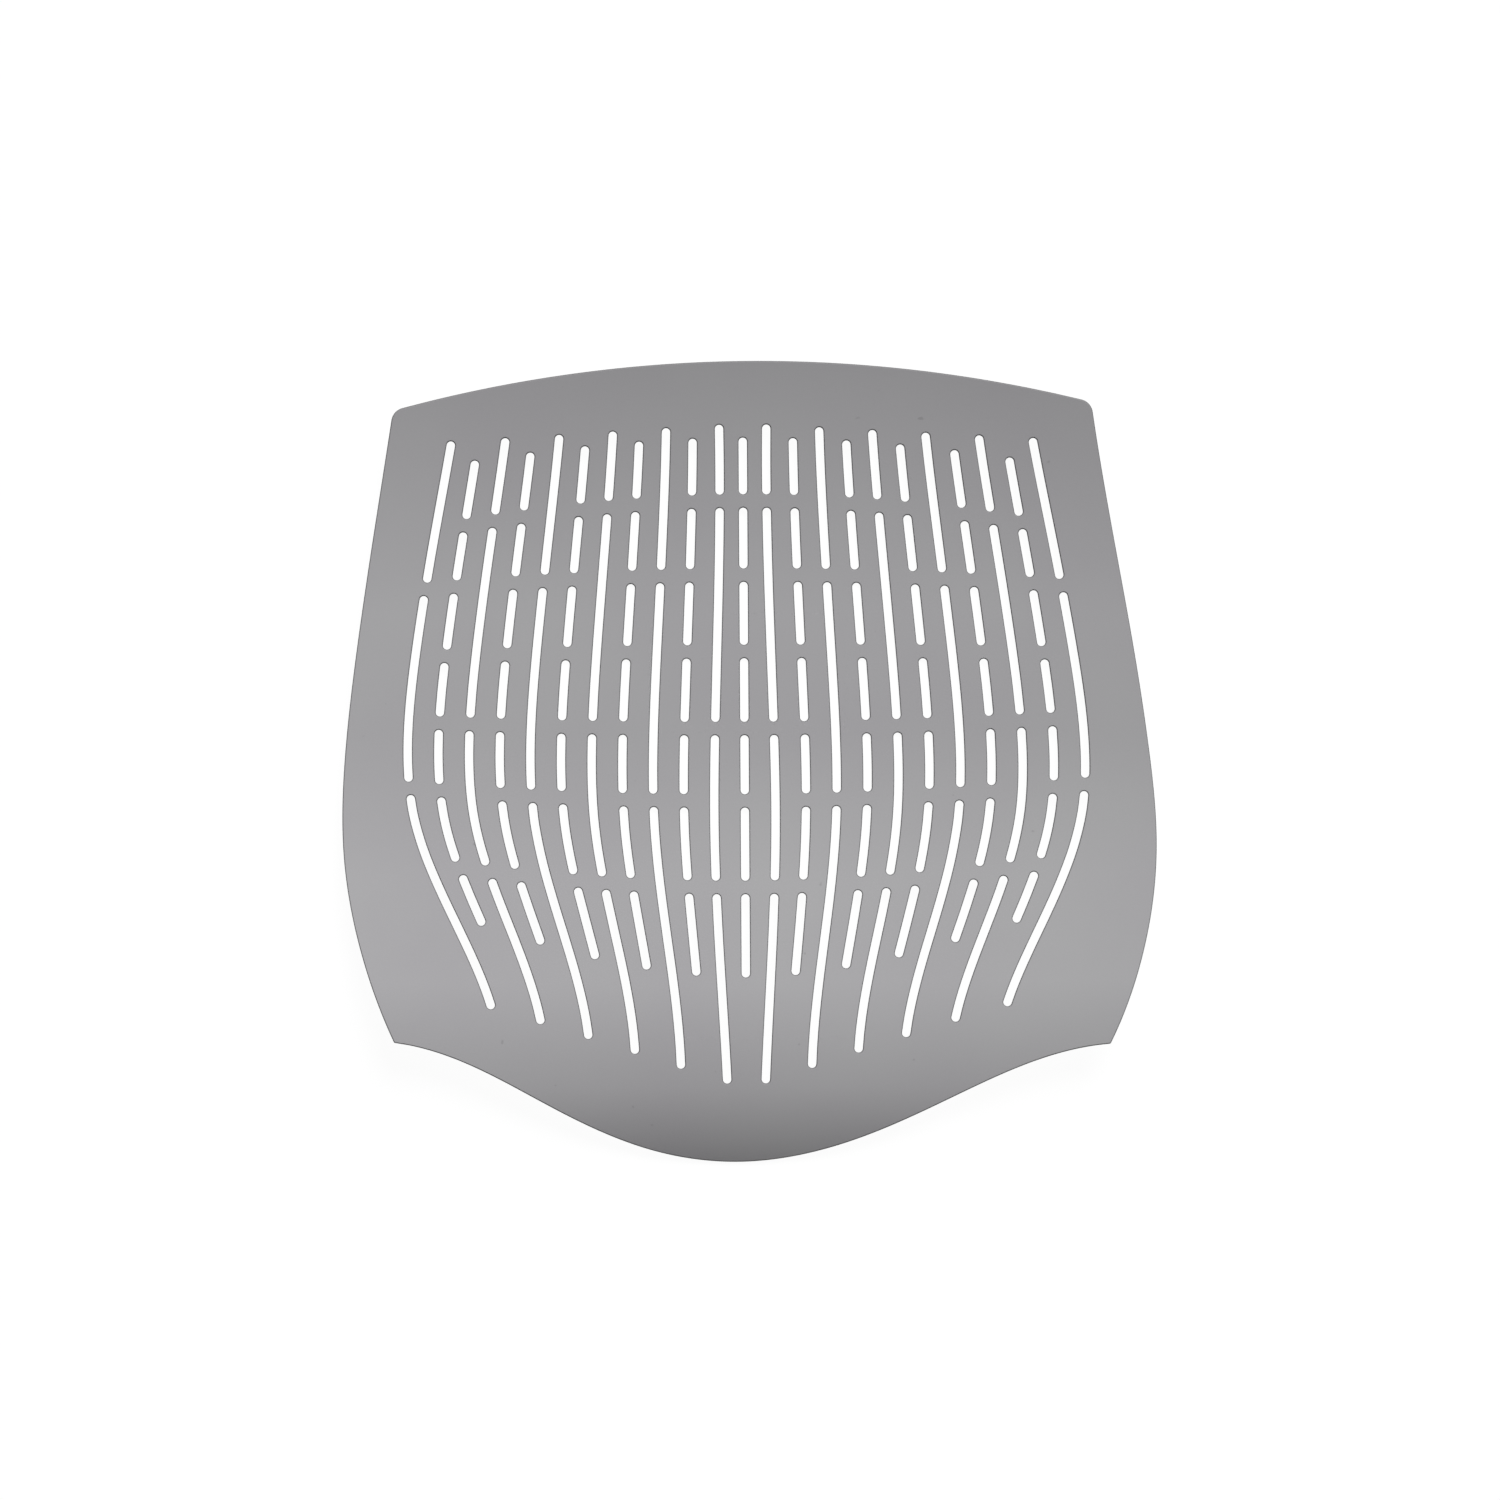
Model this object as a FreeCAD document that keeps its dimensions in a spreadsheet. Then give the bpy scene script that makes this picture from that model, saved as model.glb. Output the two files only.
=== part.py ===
import FreeCAD, Part

import math
import os

import Sketcher

Vector = FreeCAD.Vector

# The part is one thin sheet, punched with slots and pressed into a shallow dish.
# Frame: millimetres, +Z up. The sheet lies with its dish open upwards and X runs across it.
# The dish is symmetrical about X = 0. The outline and the slots are each a little askew.
# +Y points to the arched edge and -Y to the turned-down lobe.
# Z = 0 is the surface that the sheet rests on, at the underside of its flat band and its lobe tip.

DRIVING = {
    "sheet_thickness": 2.0,
    # Cross-section, the same all along the sheet: a flat floor between two rising wings.
    "floor_half_width": 50.0,
    "wing_radius": 1150.0,
    "blank_half_width": 207.0,
    # Side view: stations along Y where the underside's curvature changes, and its radii.
    "far_end": 204.0,
    "band_far": 75.0,
    "band_near": 15.0,
    "climb_start": -58.0,
    "climb_end": -111.0,
    "crest_end": -162.0,
    "near_end": -203.0,
    "far_radius": 560.0,
    "near_radius": 500.0,
    "crest_radius": 185.0,
    "lobe_radius": 97.56,
    # Outline, seen from above.
    "arch_apex_x": 2.0,
    "arch_apex_y": 200.4,
    "arch_radius": 682.0,
    "arch_left_x": -176.8,
    "arch_right_x": 172.0,
    "arch_corner_fillet": 7.5,
    "lower_left_x": -177.8,
    "lower_left_y": -139.0,
    "lower_right_x": 179.5,
    "lower_right_y": -141.5,
    "lower_corner_fillet": 1.0,
    "lobe_tip_x": -7.5,
    "lobe_tip_y": -200.4,
    "offcut_edge": 230.0,
    # Slots.
    "slot_axis_x": -2.2,
    "slot_width": 4.2,
    "slot_gap": 6.7,
    "columns_each_side": 11.0,
    "odd_top": 169.6,
    "odd_top_fall": 8.4,
    "even_top": 162.4,
    "even_top_fall": 13.1,
    "even_bottom": -107.7,
    "even_bottom_rise": 32.2,
    "odd_bottom": -164.4,
    "odd_bottom_rise": 41.7,
    "punch_height": 60.0,
}

# The outline's left and right sides: Y, left X and right X at stations between the corners.
SIDE_STATIONS = (
    (-94.5, -194.0, 196.6),
    (-44.5, -202.85, 203.45),
    (5.5, -201.9, 200.1),
    (55.5, -196.1, 192.9),
    (105.5, -188.6, 184.2),
)
# The lower edge: X, left Y and right Y at stations between the lobe's tip and the lower corners.
LOBE_STATIONS = ((50.0, -194.1, -190.0), (100.0, -171.9, -168.4), (150.0, -146.4, -147.3))

# Spacing of the slot columns at stations along Y: each column follows it like a flow line.
PITCH_STATIONS = (
    (-160.0, 11.5),
    (-115.0, 11.9),
    (-75.0, 13.5),
    (-30.0, 15.1),
    (5.0, 15.45),
    (55.0, 15.1),
    (110.0, 14.3),
    (166.0, 13.25),
)
# How far the columns close up on the middle one, at stations along Y.
PULL_STATIONS = ((-160.0, 1.9), (-120.0, 0.05), (0.0, 0.35), (166.0, 1.45))
# How far the outermost columns lean to the right, at stations along Y; less towards the middle.
LEAN_STATIONS = ((-160.0, 0.7), (-130.0, 1.35), (-75.0, 2.05), (0.0, 0.95), (90.0, -0.1), (166.0, -0.4))
# Height of each crossbar between two rows at the middle, and how far it bows up at the sides.
CROSSBARS = (
    (130.8, -14.1),
    (93.7, -6.3),
    (55.4, -1.9),
    (16.8, 4.3),
    (-19.5, 7.3),
    (-62.8, 12.6),
)


def make_sheet(doc):
    """The spreadsheet with the driving dimensions, one aliased cell each."""
    sheet = doc.addObject("Spreadsheet::Sheet", "dims")
    for row, (alias, value) in enumerate(DRIVING.items(), start=1):
        sheet.set(f"A{row}", alias)
        sheet.set(f"B{row}", str(value))
        sheet.setAlias(f"B{row}", alias)
    doc.recompute()
    return sheet


def origin_plane(body, role):
    return next(f for f in body.Origin.OriginFeatures if f.Role == role)


def new_sketch(body, name, role):
    sketch = body.newObject("Sketcher::SketchObject", name)
    sketch.AttachmentSupport = [(origin_plane(body, role), "")]
    sketch.MapMode = "FlatFace"
    return sketch


def bind(sketch, kind, alias, *where, sign=1, name=None):
    """A named dimension of a sketch, driven by its cell; sign -1 where the cell is negative."""
    name = name or alias
    index = sketch.addConstraint(Sketcher.Constraint(kind, *where, sign * DRIVING[alias]))
    sketch.renameConstraint(index, name)
    sketch.setExpression(f"Constraints.{name}", f"{sign} * dims.{alias}")


def join(sketch, kind, *ends):
    """Ties curve ends together in pairs: each end is (curve, 1 for its start or 2 for its end)."""
    for first, second in ends:
        sketch.addConstraint(Sketcher.Constraint(kind, *first, *second))


def arc_over(centre, radius, ends, side):
    """The arc above its centre (side 1) or below it (side -1), between two sketch X values."""
    angles = sorted(side * math.acos((x - centre.x) / radius) % (2 * math.pi) for x in ends)
    return Part.ArcOfCircle(Part.Circle(centre, Vector(0, 0, 1), radius), *angles)


def drop(radius, run):
    """How far a circle has left its tangent after a run along it."""
    return radius - math.sqrt(radius**2 - run**2)


def add_side_view(body):
    """The underside seen along X: a chain of tangent arcs and lines that the sheet follows."""
    d = DRIVING
    sketch = new_sketch(body, "side_view", "YZ_Plane")
    climb_sine = (d["band_near"] - d["climb_start"]) / d["near_radius"]
    climb_cosine = math.sqrt(1 - climb_sine**2)
    climb_foot = Vector(
        d["climb_start"], drop(d["near_radius"], d["band_near"] - d["climb_start"]), 0
    )
    climb_run = d["climb_start"] - d["climb_end"]
    climb_head = climb_foot + Vector(-climb_run, climb_run * climb_sine / climb_cosine, 0)
    crest_centre = climb_head - Vector(climb_sine, climb_cosine, 0) * d["crest_radius"]
    fall_sine = (crest_centre.x - d["crest_end"]) / d["crest_radius"]
    fall = Vector(-fall_sine, math.sqrt(1 - fall_sine**2), 0)
    lobe_centre = crest_centre + fall * (d["crest_radius"] - d["lobe_radius"])
    above_band = (Vector(d["band_far"], d["far_radius"]), Vector(d["band_near"], d["near_radius"]))
    sketch.addGeometry(
        [
            arc_over(above_band[0], d["far_radius"], (d["band_far"], d["far_end"]), -1),
            Part.LineSegment(Vector(d["band_far"], 0, 0), Vector(d["band_near"], 0, 0)),
            arc_over(above_band[1], d["near_radius"], (d["climb_start"], d["band_near"]), -1),
            Part.LineSegment(climb_foot, climb_head),
            arc_over(crest_centre, d["crest_radius"], (climb_head.x, d["crest_end"]), 1),
            arc_over(lobe_centre, d["lobe_radius"], (d["crest_end"], d["near_end"]), 1),
        ],
        False,
    )
    far, band, near, climb, crest, lobe = range(6)
    joints = (
        ((far, 1), (band, 1)),
        ((band, 2), (near, 2)),
        ((near, 1), (climb, 1)),
        ((climb, 2), (crest, 1)),
        ((crest, 2), (lobe, 1)),
    )
    join(sketch, "Tangent", *joints)
    sketch.addConstraint(Sketcher.Constraint("Horizontal", band))
    sketch.addConstraint(Sketcher.Constraint("PointOnObject", band, 1, -1))
    bind(sketch, "Radius", "far_radius", far)
    bind(sketch, "Radius", "near_radius", near)
    bind(sketch, "Radius", "crest_radius", crest)
    bind(sketch, "Radius", "lobe_radius", lobe)
    bind(sketch, "DistanceX", "far_end", -1, 1, far, 2)
    bind(sketch, "DistanceX", "band_far", -1, 1, band, 1)
    bind(sketch, "DistanceX", "band_near", -1, 1, band, 2)
    bind(sketch, "DistanceX", "climb_start", climb, 1, -1, 1, sign=-1)
    bind(sketch, "DistanceX", "climb_end", climb, 2, -1, 1, sign=-1)
    bind(sketch, "DistanceX", "crest_end", crest, 2, -1, 1, sign=-1)
    bind(sketch, "DistanceX", "near_end", lobe, 2, -1, 1, sign=-1)
    return sketch


def add_cross_section(body):
    """The sheet's section at the far end of the side view, square to it."""
    d = DRIVING
    sketch = new_sketch(body, "cross_section", "XZ_Plane")
    thickness = d["sheet_thickness"]
    flat = d["floor_half_width"]
    edge = d["blank_half_width"]
    inner = d["wing_radius"] - thickness
    outer_drop = drop(d["wing_radius"], edge - flat)
    inner_drop = drop(inner, edge - flat) + thickness
    curves = []
    for side in (1, -1):
        centre = Vector(side * flat, d["wing_radius"], 0)
        ends = (side * flat, side * edge)
        curves.append(arc_over(centre, d["wing_radius"], ends, -1))
        curves.append(arc_over(centre, inner, ends, -1))
        curves.append(
            Part.LineSegment(
                Vector(side * edge, outer_drop, 0), Vector(side * edge, inner_drop, 0)
            )
        )
    for level in (0, thickness):
        curves.append(Part.LineSegment(Vector(-flat, level, 0), Vector(flat, level, 0)))
    sketch.addGeometry(curves, False)
    right_under, right_top, right_end, left_under, left_top, left_end, under, top = range(8)
    join(
        sketch,
        "Tangent",
        ((right_under, 1), (under, 2)),
        ((right_top, 1), (top, 2)),
        ((left_under, 2), (under, 1)),
        ((left_top, 2), (top, 1)),
    )
    join(
        sketch,
        "Coincident",
        ((right_under, 2), (right_end, 1)),
        ((right_top, 2), (right_end, 2)),
        ((left_under, 1), (left_end, 1)),
        ((left_top, 1), (left_end, 2)),
    )
    for line in (under, top):
        sketch.addConstraint(Sketcher.Constraint("Horizontal", line))
    for line in (right_end, left_end):
        sketch.addConstraint(Sketcher.Constraint("Vertical", line))
    sketch.addConstraint(Sketcher.Constraint("PointOnObject", under, 1, -1))
    bind(sketch, "DistanceY", "sheet_thickness", under, 1, top, 1)
    for side, name, arc in ((1, "right", right_under), (-1, "left", left_under)):
        bind(sketch, "Radius", "wing_radius", arc, name=f"wing_radius_{name}")
    for alias, name, right, left in (
        ("floor_half_width", "floor", (under, 2), (under, 1)),
        ("floor_half_width", "top", (top, 2), (top, 1)),
        ("blank_half_width", "edge", (right_end, 1), (left_end, 1)),
    ):
        bind(sketch, "DistanceX", alias, -1, 1, *right, name=f"{name}_right")
        bind(sketch, "DistanceX", alias, *left, -1, 1, name=f"{name}_left")
    tilt = "asin((dims.far_end - dims.band_far) / dims.far_radius)"
    sketch.setExpression("AttachmentOffset.Base.y", f"dims.far_radius * (1 - cos({tilt}))")
    sketch.setExpression("AttachmentOffset.Base.z", "-dims.far_end")
    sketch.AttachmentOffset = FreeCAD.Placement(
        Vector(), FreeCAD.Rotation(Vector(1, 0, 0), 10)
    )
    sketch.setExpression("AttachmentOffset.Rotation.Angle", tilt)
    return sketch


def add_blank(body):
    """The pressed sheet before it is trimmed: the section carried along the side view."""
    pipe = body.newObject("PartDesign::AdditivePipe", "pressed_blank")
    pipe.Profile = add_cross_section(body)
    pipe.Spine = add_side_view(body)
    pipe.Mode = "Standard"
    return pipe


def smooth_through(points, tangents=None):
    """A curve through the points; tangents are its directions at the two ends."""
    curve = Part.BSplineCurve()
    if tangents:
        curve.interpolate(
            Points=points, InitialTangent=tangents[0], FinalTangent=tangents[1]
        )
    else:
        curve.interpolate(Points=points)
    return curve


def arch_height(x):
    """Y of the arched edge above a point on X."""
    d = DRIVING
    return d["arch_apex_y"] - drop(d["arch_radius"], x - d["arch_apex_x"])


def outline_corners():
    """The ends of the arched edge and of the lower edge, with each one's fillet."""
    d = DRIVING
    arch = [Vector(x, arch_height(x), 0) for x in (d["arch_left_x"], d["arch_right_x"])]
    lower = [Vector(d[f"lower_{side}_x"], d[f"lower_{side}_y"], 0) for side in ("left", "right")]
    return {"arch_corner_fillet": arch, "lower_corner_fillet": lower}


def add_outline(body):
    """The outline from above, inside a square that bounds the offcut around it."""
    d = DRIVING
    sketch = new_sketch(body, "outline", "XY_Plane")
    edge = d["offcut_edge"]
    square = [Vector(x, y, 0) for x, y in ((-edge, -edge), (edge, -edge), (edge, edge), (-edge, edge))]
    curves = [Part.LineSegment(square[i - 1], square[i]) for i in range(4)]
    arch_centre = Vector(d["arch_apex_x"], d["arch_apex_y"] - d["arch_radius"], 0)
    ends = (d["arch_left_x"], d["arch_right_x"])
    curves.append(arc_over(arch_centre, d["arch_radius"], ends, 1))
    arch, lower = outline_corners().values()
    left = [Vector(left_x, y, 0) for y, left_x, right_x in SIDE_STATIONS]
    right = [Vector(right_x, y, 0) for y, left_x, right_x in SIDE_STATIONS]
    curves.append(smooth_through([lower[0], *left, arch[0]]))
    curves.append(smooth_through([lower[1], *right, arch[1]]))
    tip = Vector(d["lobe_tip_x"], d["lobe_tip_y"], 0)
    left = [Vector(-x, left_y, 0) for x, left_y, right_y in reversed(LOBE_STATIONS)]
    right = [Vector(x, right_y, 0) for x, left_y, right_y in LOBE_STATIONS]
    curves.append(smooth_through([lower[0], *left, tip, *right, lower[1]]))
    sketch.addGeometry(curves, False)
    return sketch


def column_curves():
    """Column spacing, pull and lean as curves over Y, each through its stations."""
    curves = []
    for stations in (PITCH_STATIONS, PULL_STATIONS, LEAN_STATIONS):
        curve = Part.BSplineCurve()
        curve.interpolate(
            Points=[Vector(y, value, 0) for y, value in stations],
            Parameters=[y for y, value in stations],
        )
        curves.append(curve)
    return curves


def column_at(column, y, pitch_curve, pull_curve, lean_curve):
    """The point on a column's centre line at height y, and the direction towards +Y there."""
    side = (column > 0) - (column < 0)
    share = (column / DRIVING["columns_each_side"]) ** 2
    pitch, pitch_change = pitch_curve.getD1(y)
    pull, pull_change = pull_curve.getD1(y)
    lean, lean_change = lean_curve.getD1(y)
    across = column * pitch.y - side * pull.y + share * lean.y
    slant = column * pitch_change.y - side * pull_change.y + share * lean_change.y
    return Vector(DRIVING["slot_axis_x"] + across, y, 0), Vector(slant, 1, 0).normalize()


def slot_ends(column):
    """The lowest and highest Y of each slot in a column, from the top down."""
    d = DRIVING
    share = abs(column) / d["columns_each_side"]
    bars = [middle + bow * share**2 for middle, bow in CROSSBARS]
    if column % 2 == 0:
        top = d["even_top"] - d["even_top_fall"] * share**2
        bottom = d["even_bottom"] + d["even_bottom_rise"] * share**2
    else:
        top = d["odd_top"] - d["odd_top_fall"] * share
        bottom = d["odd_bottom"] + d["odd_bottom_rise"] * share
        kept = (1, 4) if abs(column) % 4 == 3 else (0, 3, 5)
        bars = [bars[index] for index in kept]
    half_gap = d["slot_gap"] / 2
    uppers = [top, *(bar - half_gap for bar in bars)]
    lowers = [*(bar + half_gap for bar in bars), bottom]
    return list(zip(lowers, uppers))


def slot_outline(column, low, high, curves):
    """One slot: two long sides that follow the column, closed by half circles."""
    half = DRIVING["slot_width"] / 2
    low, high = low + half, high - half
    count = max(2, round((high - low) / 12))
    stations = [low + (high - low) * step / count for step in range(count + 1)]
    line = [column_at(column, y, *curves) for y in stations]
    sides = []
    for hand in (1, -1):
        points = [p + Vector(t.y, -t.x, 0) * (hand * half) for p, t in line]
        sides.append(smooth_through(points, (line[0][1], line[-1][1])))
    (first, first_way), (last, last_way) = line[0], line[-1]
    right, left = sides
    foot = Part.Arc(left.StartPoint, first - first_way * half, right.StartPoint)
    head = Part.Arc(right.EndPoint, last + last_way * half, left.EndPoint)
    return [right, head, left, foot]


def add_slot_punches(doc):
    """Every slot: 23 columns that fan with the outline, standing as punches through the sheet."""
    curves = column_curves()
    last = round(DRIVING["columns_each_side"])
    faces = []
    for column in range(-last, last + 1):
        for low, high in slot_ends(column):
            outline = slot_outline(column, low, high, curves)
            faces.append(Part.Face(Part.Wire([curve.toShape() for curve in outline])))
    slots = doc.addObject("Part::Feature", "slot_shapes")
    slots.Shape = Part.makeCompound(faces)
    punches = doc.addObject("Part::Extrusion", "slot_punches")
    punches.Base = slots
    punches.DirMode = "Custom"
    punches.Dir = Vector(0, 0, 1)
    punches.setExpression("LengthFwd", "dims.punch_height")
    return punches


def corner_edges(shape, corners):
    """Names of the upright edges at the corners, one for each."""
    names = []
    for index, edge in enumerate(shape.Edges, start=1):
        middle = edge.CenterOfMass
        if any(math.hypot(middle.x - spot.x, middle.y - spot.y) < 0.1 for spot in corners):
            names.append(f"Edge{index}")
    if len(names) != len(corners):
        raise RuntimeError(f"{len(names)} corner edges found, not {len(corners)}")
    return names


def trim(body, sketch):
    """Cuts the offcut away, through the whole sheet, and rounds the outline's four corners."""
    before = body.Tip.Shape.Volume
    pocket = body.newObject("PartDesign::Pocket", "trim")
    pocket.Profile = sketch
    pocket.Type = "ThroughAll"
    pocket.Midplane = True
    body.Document.recompute()
    removed = before - pocket.Shape.Volume
    print(f"the trim removes {removed:.0f} of {before:.0f} cubic millimetres")
    if removed < 1:
        raise RuntimeError("the trim cuts nothing")
    previous = pocket
    for alias, corners in outline_corners().items():
        names = corner_edges(previous.Shape, corners)
        fillet = body.newObject("PartDesign::Fillet", alias.replace("_fillet", "s"))
        fillet.Base = (previous, names)
        fillet.setExpression("Radius", f"dims.{alias}")
        body.Document.recompute()
        previous = fillet


def check(doc, part):
    """Stops before anything is written if an object failed or the solid isn't sound."""
    for item in doc.Objects:
        if {"Invalid", "Error"} & set(item.State):
            raise RuntimeError(f"{item.Name} is {item.State}")
    shape = part.Shape
    if shape.isNull() or not shape.isValid() or len(shape.Solids) != 1:
        raise RuntimeError(f"{part.Label} isn't one valid solid")


def main():
    doc = FreeCAD.newDocument("queen_excluder")
    make_sheet(doc)
    body = doc.addObject("PartDesign::Body", "trimmed_sheet")
    add_blank(body)
    doc.recompute()
    trim(body, add_outline(body))
    excluder = doc.addObject("Part::Cut", "excluder_sheet")
    excluder.Label = "excluder_sheet"
    excluder.Base = body
    excluder.Tool = add_slot_punches(doc)
    doc.recompute()
    check(doc, excluder)
    box = excluder.Shape.optimalBoundingBox()
    print(f"size {box.XLength:.2f} x {box.YLength:.2f} x {box.ZLength:.2f}, lowest {box.ZMin:.3f}")
    os.makedirs("parts", exist_ok=True)
    excluder.Shape.exportStep(f"parts/{excluder.Label}.step")


main()
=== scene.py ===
import math

import bpy
import numpy as np
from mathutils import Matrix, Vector
from mathutils.geometry import delaunay_2d_cdt
from mathutils.kdtree import KDTree


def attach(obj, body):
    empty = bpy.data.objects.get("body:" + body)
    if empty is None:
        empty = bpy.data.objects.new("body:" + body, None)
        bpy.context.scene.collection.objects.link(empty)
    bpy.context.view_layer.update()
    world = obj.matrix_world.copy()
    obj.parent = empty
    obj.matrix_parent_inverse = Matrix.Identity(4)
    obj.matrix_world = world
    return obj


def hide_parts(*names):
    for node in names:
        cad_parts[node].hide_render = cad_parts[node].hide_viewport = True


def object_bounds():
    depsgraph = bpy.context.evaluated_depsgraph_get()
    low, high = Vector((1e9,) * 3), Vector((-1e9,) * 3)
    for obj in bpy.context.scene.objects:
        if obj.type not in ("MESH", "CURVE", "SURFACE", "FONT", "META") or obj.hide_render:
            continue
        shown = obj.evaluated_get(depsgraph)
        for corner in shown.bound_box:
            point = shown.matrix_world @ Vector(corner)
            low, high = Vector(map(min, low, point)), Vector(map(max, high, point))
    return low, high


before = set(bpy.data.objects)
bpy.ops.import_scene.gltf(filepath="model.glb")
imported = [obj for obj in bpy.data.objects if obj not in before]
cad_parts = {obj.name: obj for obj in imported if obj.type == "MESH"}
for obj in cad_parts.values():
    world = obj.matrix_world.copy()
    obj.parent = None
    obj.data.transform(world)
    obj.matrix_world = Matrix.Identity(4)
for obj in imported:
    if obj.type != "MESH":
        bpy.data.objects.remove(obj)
bpy.context.view_layer.update()
first_box = [list(corner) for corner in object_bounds()]

MM = 0.001
NODE = "excluder_sheet"

# The pressed form, in millimetres, as the sheet's CAD model has it.
THICKNESS = 2.0
FLOOR_HALF_WIDTH = 50.0
WING_RADIUS = 1150.0
BAND_FAR = 75.0
BAND_NEAR = 15.0
CLIMB_START = -58.0
CLIMB_END = -111.0
CREST_END = -162.0
FAR_RADIUS = 560.0
NEAR_RADIUS = 500.0
CREST_RADIUS = 185.0
LOBE_RADIUS = 97.56

# The finished edges and the mesh, in millimetres.
EDGE_ROUND = 0.7
UPPER_ROUND_STEPS = 3
LOWER_ROUND_STEPS = 2
RIM_SPACING = 2.5
SLOT_END_STEPS = 12
FILL_SPACING = 4.0
FILL_CLEARANCE = 1.8
WELD_DECIMALS = 3
SLOPE_STEP = 0.05
FORM_TOLERANCE = 0.05

# Shares of a length or an area, and a tolerance for joining plan points.
FACES_UP = 0.5
SHORT_SIDE = 0.2
JOIN_TOLERANCE = 1e-7

# The studio: a key light from beyond the arched edge, a fill, and a long lens straight above.
# Angles are in degrees, the lens and its sensor in millimetres, the other lengths in metres.
KEY_STRENGTH = 3.8
KEY_DIRECTION = (0.24, 0.66, 0.68)
KEY_SPREAD = 35.0
FILL_STRENGTH = 0.06
FLOOR_HALF = 6.0
FLOOR_SHADE = 0.06
FLOOR_GLOW = 0.96
LENS = 200.0
SENSOR = 36.0
VIEW_WIDTH = 0.75
AIM_OFFSET = (0.0005, 0.006, 0.0)
CAMERA_ROLL = -0.34
CLIP_DISTANCES = 4

# How much smoother than the faces the rubbed edges are.
EDGE_POLISH = 0.12


# ---- the pressed form -------------------------------------------------------------------------


def drop(radius, run):
    """How far a circle has left its tangent after a run along it."""
    return radius - np.sqrt(radius**2 - run**2)


def form_height(x, y, upper):
    """Height of the sheet's upper or lower face at plan points, in millimetres."""
    run = np.maximum(np.abs(x) - FLOOR_HALF_WIDTH, 0.0)
    if upper:
        lift = THICKNESS + drop(WING_RADIUS - THICKNESS, run)
    else:
        lift = drop(WING_RADIUS, run)
    climb_sine = (BAND_NEAR - CLIMB_START) / NEAR_RADIUS
    climb_cosine = math.sqrt(1 - climb_sine**2)
    foot = drop(NEAR_RADIUS, BAND_NEAR - CLIMB_START)
    head = foot + (CLIMB_START - CLIMB_END) * climb_sine / climb_cosine
    crest_y = CLIMB_END - CREST_RADIUS * climb_sine
    crest_z = head - CREST_RADIUS * climb_cosine
    fall_sine = (crest_y - CREST_END) / CREST_RADIUS
    fall_cosine = math.sqrt(1 - fall_sine**2)
    lobe_y = crest_y - fall_sine * (CREST_RADIUS - LOBE_RADIUS)
    lobe_z = crest_z + fall_cosine * (CREST_RADIUS - LOBE_RADIUS)

    def bowl(radius, centre_y):
        return radius - np.sqrt((radius - lift) ** 2 - (y - centre_y) ** 2)

    def hump(radius, centre_y, centre_z):
        under = np.maximum((radius + lift) ** 2 - (y - centre_y) ** 2, 0.0)
        return centre_z + np.sqrt(under)

    slope_foot = CLIMB_START + climb_sine * lift
    stretches = (
        (y > BAND_FAR, bowl(FAR_RADIUS, BAND_FAR)),
        (y > BAND_NEAR, lift),
        (y > slope_foot, bowl(NEAR_RADIUS, BAND_NEAR)),
        (
            y > CLIMB_END + climb_sine * lift,
            foot + lift * climb_cosine + (slope_foot - y) * climb_sine / climb_cosine,
        ),
        (y > CREST_END - fall_sine * lift, hump(CREST_RADIUS, crest_y, crest_z)),
    )
    return np.select(
        [where for where, height in stretches],
        [height for where, height in stretches],
        hump(LOBE_RADIUS, lobe_y, lobe_z),
    )


def form_normal(x, y, upper):
    """Unit normals of the upper or lower face, both pointing up."""
    step = SLOPE_STEP
    slope_x = (form_height(x + step, y, upper) - form_height(x - step, y, upper)) / (2 * step)
    slope_y = (form_height(x, y + step, upper) - form_height(x, y - step, upper)) / (2 * step)
    normal = np.stack([-slope_x, -slope_y, np.ones_like(slope_x)], axis=1)
    return normal / np.linalg.norm(normal, axis=1, keepdims=True)


# ---- the outlines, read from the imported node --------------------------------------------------


def node_loops(name):
    """The rim and slot outlines of a CAD node's upper face in plan, in millimetres.

    Each runs with the metal on its left: the rim anticlockwise, the slots clockwise."""
    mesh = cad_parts[name].data
    mesh.calc_loop_triangles()
    points = np.empty(len(mesh.vertices) * 3)
    mesh.vertices.foreach_get("co", points)
    corners = np.empty(len(mesh.loop_triangles) * 3, dtype=int)
    mesh.loop_triangles.foreach_get("vertices", corners)
    points = np.round(points.reshape(-1, 3) / MM, WELD_DECIMALS)
    spots, index = np.unique(points, axis=0, return_inverse=True)
    corners = index.reshape(-1)[corners].reshape(-1, 3)
    across = np.cross(
        spots[corners[:, 1]] - spots[corners[:, 0]], spots[corners[:, 2]] - spots[corners[:, 0]]
    )
    area = np.linalg.norm(across, axis=1)
    up = across[:, 2] > FACES_UP * area
    edges = set()
    for a, b, c in corners[up]:
        edges.update(((a, b), (b, c), (c, a)))
    follows = {a: b for a, b in edges if (b, a) not in edges}
    loops = []
    while follows:
        start, here = follows.popitem()
        loop = [start]
        while here != start:
            loop.append(here)
            here = follows.pop(here)
        loops.append(spots[loop])
    return sorted(loops, key=len, reverse=True)


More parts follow.
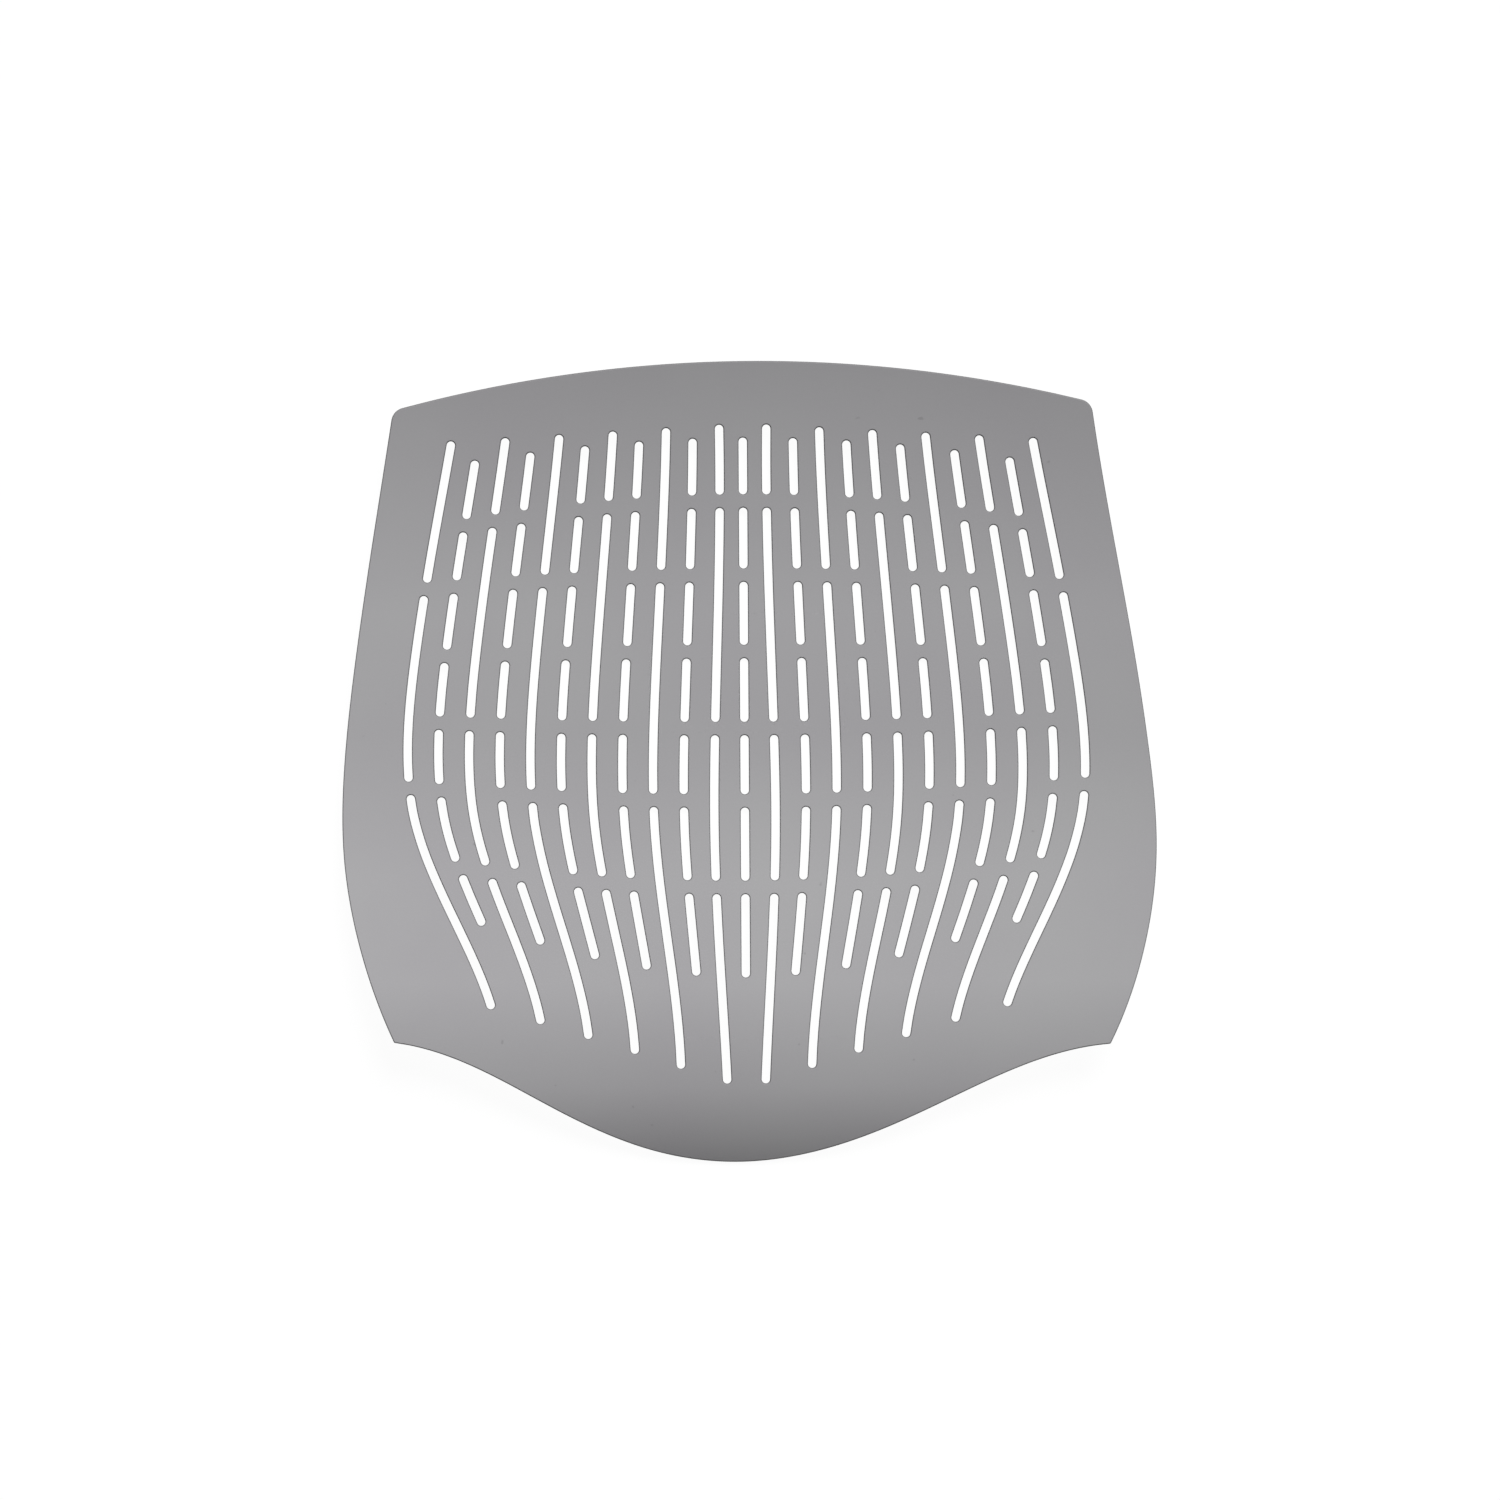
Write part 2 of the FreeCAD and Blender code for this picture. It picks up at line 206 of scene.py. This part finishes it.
def smooth_outline(loop):
    """Even points on a smooth curve through a loop's own, with unit normals into the metal.

    They are RIM_SPACING apart on straight sides and SLOT_END_STEPS to a half turn."""
    start = loop[:, :2]
    chord = np.roll(start, -1, axis=0) - start
    length = np.linalg.norm(chord, axis=1)
    heading = chord / length[:, None]
    heading_before = np.roll(heading, 1, axis=0)
    length_before = np.roll(length, 1)
    share = length_before / (length_before + length)
    share = np.where(share < SHORT_SIDE, 0.0, np.where(share > 1 - SHORT_SIDE, 1.0, share))
    # At a long side's end the long chord gives the direction, elsewhere the circle through 3 points.
    own = np.where((share == 0.0) | (share == 1.0), share, 1 - share)
    tangent = heading_before * own[:, None] + heading * (1 - own)[:, None]
    tangent /= np.linalg.norm(tangent, axis=1, keepdims=True)
    cosine = np.clip(np.sum(heading * heading_before, axis=1), -1, 1)
    turn = np.arccos(cosine)
    weight = length / RIM_SPACING + (turn + np.roll(turn, -1)) / 2 * SLOT_END_STEPS / math.pi
    reach = np.concatenate([[0.0], np.cumsum(weight)])
    count = int(round(reach[-1]))
    marks = np.arange(count) * reach[-1] / count
    piece = np.searchsorted(reach, marks, side="right") - 1
    u = ((marks - reach[piece]) / weight[piece])[:, None]
    following = (piece + 1) % len(start)
    p0, p1 = start[piece], start[following]
    t0, t1 = tangent[piece] * length[piece, None], tangent[following] * length[piece, None]
    points = (
        (2 * u**3 - 3 * u**2 + 1) * p0
        + (u**3 - 2 * u**2 + u) * t0
        + (3 * u**2 - 2 * u**3) * p1
        + (u**3 - u**2) * t1
    )
    along = (
        (6 * u**2 - 6 * u) * (p0 - p1)
        + (3 * u**2 - 4 * u + 1) * t0
        + (3 * u**2 - 2 * u) * t1
    )
    along /= np.linalg.norm(along, axis=1, keepdims=True)
    return points, np.stack([-along[:, 1], along[:, 0]], axis=1)


# ---- the sheet's mesh -------------------------------------------------------------------------


def fill_points(rim, inward):
    """Plan points in the metal between the outlines, on a staggered grid."""
    tree = KDTree(len(rim))
    for index, point in enumerate(rim):
        tree.insert((point[0], point[1], 0.0), index)
    tree.balance()
    row_step = FILL_SPACING * math.sqrt(3) / 2
    low, high = rim.min(axis=0), rim.max(axis=0)
    found = []
    for row in range(int((high[1] - low[1]) / row_step) + 1):
        y = low[1] + row * row_step
        shift = FILL_SPACING / 2 * (row % 2)
        for column in range(int((high[0] - low[0]) / FILL_SPACING) + 1):
            x = low[0] + shift + column * FILL_SPACING
            spot, index, distance = tree.find((x, y, 0.0))
            side = (x - spot.x) * inward[index, 0] + (y - spot.y) * inward[index, 1]
            if distance > FILL_CLEARANCE and side > 0:
                found.append((x, y))
    return np.array(found)


def winding(spot, loop):
    """How often a loop runs anticlockwise around a plan point."""
    ends = np.roll(loop, -1, axis=0)
    up = (loop[:, 1] <= spot[1]) & (ends[:, 1] > spot[1])
    down = (loop[:, 1] > spot[1]) & (ends[:, 1] <= spot[1])
    side = (ends[:, 0] - loop[:, 0]) * (spot[1] - loop[:, 1])
    side -= (spot[0] - loop[:, 0]) * (ends[:, 1] - loop[:, 1])
    return np.count_nonzero(up & (side > 0)) - np.count_nonzero(down & (side < 0))


def face_triangles(ring, owner, fill):
    """Triangles of the metal between the ring's outlines, as indices into ring and then fill."""
    points = np.concatenate([ring, fill])
    edges = []
    for loop in range(owner.max() + 1):
        members = np.flatnonzero(owner == loop)
        edges.extend(zip(members.tolist(), np.roll(members, -1).tolist()))
    made = delaunay_2d_cdt([Vector(p) for p in points], edges, [], 0, JOIN_TOLERANCE)
    source = np.array([origin[0] for origin in made[3]])
    triangles = source[np.array(made[2])]
    on_ring = (triangles < len(ring)).all(axis=1)
    owners = np.append(owner, -1)[np.where(triangles < len(ring), triangles, len(ring))]
    same = on_ring & (owners[:, 0] == owners[:, 1]) & (owners[:, 1] == owners[:, 2])
    keep = np.ones(len(triangles), dtype=bool)
    for index in np.flatnonzero(same):
        loop = owners[index, 0]
        turns = winding(points[triangles[index]].mean(axis=0), ring[owner == loop])
        keep[index] = turns == (1 if loop == 0 else 0)
    return triangles[keep]


def edge_rings():
    """The rounded edge from the upper face down to the lower one: inset, drop, tilt, upper."""
    rings = []
    for steps, upper in ((UPPER_ROUND_STEPS, True), (LOWER_ROUND_STEPS, False)):
        for step in range(steps + 1):
            tilt = math.pi / 2 * step / steps
            inset = EDGE_ROUND * (1 - math.sin(tilt))
            rings.append((inset, EDGE_ROUND * (1 - math.cos(tilt)), tilt, upper))
    upper_rings = rings[: UPPER_ROUND_STEPS + 1]
    return upper_rings + rings[UPPER_ROUND_STEPS + 1 :][::-1]


def placed(plan, inward, ring):
    """Positions and normals of one ring, or of face points where ring says no tilt."""
    inset, depth, tilt, upper = ring
    spots = plan + inward * inset
    height = form_height(spots[:, 0], spots[:, 1], upper)
    normal = form_normal(spots[:, 0], spots[:, 1], upper)
    side = 1 if upper else -1
    outward = np.concatenate([-inward, np.zeros((len(plan), 1))], axis=1)
    normal = side * math.cos(tilt) * normal + math.sin(tilt) * outward
    normal /= np.linalg.norm(normal, axis=1, keepdims=True)
    return np.column_stack([spots, height - side * depth]), normal


def sheet_mesh():
    """The finished sheet: both faces on the pressed form, joined by rounded edges."""
    loops = node_loops(NODE)
    corners = np.concatenate(loops)
    gap = np.abs(form_height(corners[:, 0], corners[:, 1], True) - corners[:, 2]).max()
    if gap > FORM_TOLERANCE:
        raise RuntimeError(f"the form is {gap:.3f} mm off the node")
    outlines = [smooth_outline(loop) for loop in loops]
    plan = np.concatenate([points for points, normals in outlines])
    inward = np.concatenate([normals for points, normals in outlines])
    owner = np.repeat(np.arange(len(outlines)), [len(points) for points, normals in outlines])
    following = np.arange(len(plan)) + 1
    ends = np.flatnonzero(np.diff(owner, append=-1))
    starts = np.concatenate([[0], ends[:-1] + 1])
    following[ends] = starts
    ring_plan = plan + inward * EDGE_ROUND
    fill = fill_points(ring_plan, inward)
    triangles = face_triangles(ring_plan, owner, fill)

    rings = edge_rings()
    flat = np.zeros_like(fill)
    parts = [placed(plan, inward, ring) for ring in rings]
    parts += [placed(fill, flat, (0, 0, 0, upper)) for upper in (True, False)]
    points = np.concatenate([spots for spots, normals in parts])
    normals = np.concatenate([normals for spots, normals in parts])
    around = len(plan)
    fill_upper = around * len(rings)
    fill_lower = fill_upper + len(fill)
    upper_face = np.where(triangles < around, triangles, triangles - around + fill_upper)
    last_ring = around * (len(rings) - 1)
    lower_face = np.where(
        triangles < around, triangles + last_ring, triangles - around + fill_lower
    )[:, ::-1]
    here = np.arange(around)
    quads = []
    for ring in range(len(rings) - 1):
        above, below = ring * around, (ring + 1) * around
        quads.append(
            np.column_stack([below + here, below + following, above + following, above + here])
        )
    faces = upper_face.tolist() + lower_face.tolist() + np.concatenate(quads).tolist()
    mesh = bpy.data.meshes.new("pressed_sheet")
    mesh.from_pydata((points * MM).tolist(), [], faces)
    mesh.shade_smooth()
    mesh.normals_split_custom_set_from_vertices(normals.tolist())
    # Painted shade: the rim value, the sine of each edge ring's tilt, darkens the rounded edges in
    # colour and also makes them smoother.
    rim_shade_and_polish = mesh.attributes.new("rim", "FLOAT", "POINT")
    tilt = [math.sin(ring[2]) for ring in rings]
    amount = np.concatenate([np.repeat(tilt, around), np.zeros(2 * len(fill))])
    rim_shade_and_polish.data.foreach_set("value", amount.astype(np.float32))
    return mesh


# ---- materials --------------------------------------------------------------------------------


class Nodes:
    """A material's node tree with short calls for adding and linking nodes."""

    def __init__(self, name):
        self.material = bpy.data.materials.new(name)
        self.material.use_nodes = True
        self.tree = self.material.node_tree
        self.tree.nodes.clear()

    def add(self, kind, settings=None, **inputs):
        node = self.tree.nodes.new(kind)
        for key, value in (settings or {}).items():
            setattr(node, key, value)
        for key, value in inputs.items():
            socket = node.inputs[key.replace("_", " ")]
            if isinstance(value, bpy.types.NodeSocket):
                self.tree.links.new(value, socket)
            else:
                socket.default_value = value
        return node

    def link(self, output, node, socket):
        self.tree.links.new(output, node.inputs[socket])


def ramp(nodes, factor, stops):
    """A colour ramp from (position, grey or colour) stops."""
    node = nodes.add("ShaderNodeValToRGB", Fac=factor)
    elements = node.color_ramp.elements
    while len(elements) < len(stops):
        elements.new(0.5)
    for element, (position, colour) in zip(elements, stops):
        element.position = position
        shade = (colour,) * 3 if isinstance(colour, float) else colour
        element.color = (*shade, 1.0)
    return node.outputs["Color"]


def multiplied(nodes, colour, shade):
    """One colour times another, on the Mix node's colour sockets 6 and 7."""
    node = nodes.add("ShaderNodeMix", {"data_type": "RGBA", "blend_type": "MULTIPLY"})
    node.inputs["Factor"].default_value = 1.0
    nodes.link(colour, node, 6)
    nodes.link(shade, node, 7)
    return node.outputs[2]


def satin_metal():
    """Satin grey metal: cloudy toning, fine grain, rare marks, and painted shade on the rounded
    edges, which are also rubbed smoother.
    """
    nodes = Nodes("satin_sheet_metal")
    where = nodes.add("ShaderNodeTexCoord").outputs["Object"]
    cloud = nodes.add("ShaderNodeTexNoise", Vector=where, Scale=9.0, Detail=3.0, Roughness=0.55)
    grain = nodes.add("ShaderNodeTexNoise", Vector=where, Scale=2600.0, Detail=2.0)
    soft = nodes.add("ShaderNodeTexNoise", Vector=where, Scale=60.0, Detail=4.0, Roughness=0.6)
    rim = nodes.add("ShaderNodeAttribute", {"attribute_name": "rim"}).outputs["Fac"]
    tone = ramp(
        nodes,
        cloud.outputs["Fac"],
        ((0.3, (0.378, 0.37, 0.385)), (0.7, (0.395, 0.393, 0.4))),
    )
    marks = nodes.add("ShaderNodeTexNoise", Vector=where, Scale=190.0, Detail=1.0)
    grain_shade = ramp(nodes, grain.outputs["Fac"], ((0.25, 0.955), (0.75, 1.0)))
    mark_shade = ramp(nodes, marks.outputs["Fac"], ((0.17, 0.82), (0.21, 1.0)))
    # Painted shade: the rounded edges are darkened in colour, down to 0.4 where they turn furthest
    # from the face.
    painted_edge_shade = ramp(nodes, rim, ((0.1, 1.0), (0.7, 0.4)))
    for shade in (grain_shade, mark_shade, painted_edge_shade):
        tone = multiplied(nodes, tone, shade)
    rough = nodes.add(
        "ShaderNodeMapRange",
        Value=soft.outputs["Fac"],
        From_Min=0.25,
        From_Max=0.75,
        To_Min=0.57,
        To_Max=0.65,
    )
    rubbed = nodes.add("ShaderNodeMath", {"operation": "MULTIPLY_ADD"})
    nodes.link(rim, rubbed, 0)
    rubbed.inputs[1].default_value = -EDGE_POLISH
    nodes.link(rough.outputs["Result"], rubbed, 2)
    bump = nodes.add(
        "ShaderNodeBump", Height=grain.outputs["Fac"], Strength=0.12, Distance=0.0001
    )
    shader = nodes.add(
        "ShaderNodeBsdfPrincipled",
        Base_Color=tone,
        Roughness=rubbed.outputs[0],
        Normal=bump.outputs["Normal"],
        Metallic=0.0,
        Specular_IOR_Level=0.18,
    )
    output = nodes.add("ShaderNodeOutputMaterial")
    nodes.link(shader.outputs["BSDF"], output, "Surface")
    return nodes.material


def pale_floor():
    """A pale floor whose white is mostly its own glow, so the sheet's shadow stays faint."""
    nodes = Nodes("pale_floor")
    shader = nodes.add(
        "ShaderNodeBsdfPrincipled",
        Base_Color=(FLOOR_SHADE, FLOOR_SHADE, FLOOR_SHADE, 1.0),
        Roughness=0.9,
        Specular_IOR_Level=0.0,
        Emission_Color=(1.0, 1.0, 1.0, 1.0),
        Emission_Strength=FLOOR_GLOW,
    )
    output = nodes.add("ShaderNodeOutputMaterial")
    nodes.link(shader.outputs["BSDF"], output, "Surface")
    return nodes.material


# ---- the studio -------------------------------------------------------------------------------


def add_floor():
    """A plain floor at the sheet's rest level, kept out of the part."""
    half = FLOOR_HALF
    mesh = bpy.data.meshes.new("floor")
    corners = [(-half, -half, 0), (half, -half, 0), (half, half, 0), (-half, half, 0)]
    mesh.from_pydata(corners, [], [(0, 1, 2, 3)])
    floor = bpy.data.objects.new("floor", mesh)
    floor.data.materials.append(pale_floor())
    bpy.context.scene.collection.objects.link(floor)


def add_light():
    """One broad soft key from beyond the arched edge, to the right, and an even pale fill."""
    sun = bpy.data.lights.new("key", "SUN")
    sun.energy = KEY_STRENGTH
    sun.angle = math.radians(KEY_SPREAD)
    key = bpy.data.objects.new("key", sun)
    key.rotation_mode = "QUATERNION"
    key.rotation_quaternion = Vector(KEY_DIRECTION).to_track_quat("Z", "Y")
    bpy.context.scene.collection.objects.link(key)
    world = bpy.data.worlds.new("studio")
    world.use_nodes = True
    background = world.node_tree.nodes["Background"]
    background.inputs["Color"].default_value = (1.0, 1.0, 1.0, 1.0)
    background.inputs["Strength"].default_value = FILL_STRENGTH
    bpy.context.scene.world = world


def add_camera(box):
    """Straight above the sheet with its arched edge up, on a long lens."""
    low, high = Vector(box[0]), Vector(box[1])
    data = bpy.data.cameras.new("camera")
    data.lens = LENS
    data.sensor_width = SENSOR
    distance = VIEW_WIDTH * LENS / SENSOR
    data.clip_end = distance * CLIP_DISTANCES
    camera = bpy.data.objects.new("camera", data)
    aim = (low + high) / 2 + Vector(AIM_OFFSET)
    camera.location = (aim.x, aim.y, high.z / 2 + distance)
    camera.rotation_euler = (0, 0, math.radians(CAMERA_ROLL))
    bpy.context.scene.collection.objects.link(camera)
    bpy.context.scene.camera = camera


add_camera(first_box)
add_light()
add_floor()

sheet = bpy.data.objects.new("pressed_sheet", sheet_mesh())
bpy.context.scene.collection.objects.link(sheet)
sheet.data.materials.append(satin_metal())
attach(sheet, "root")
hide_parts(NODE)

bpy.context.scene.view_settings.view_transform = "Standard"
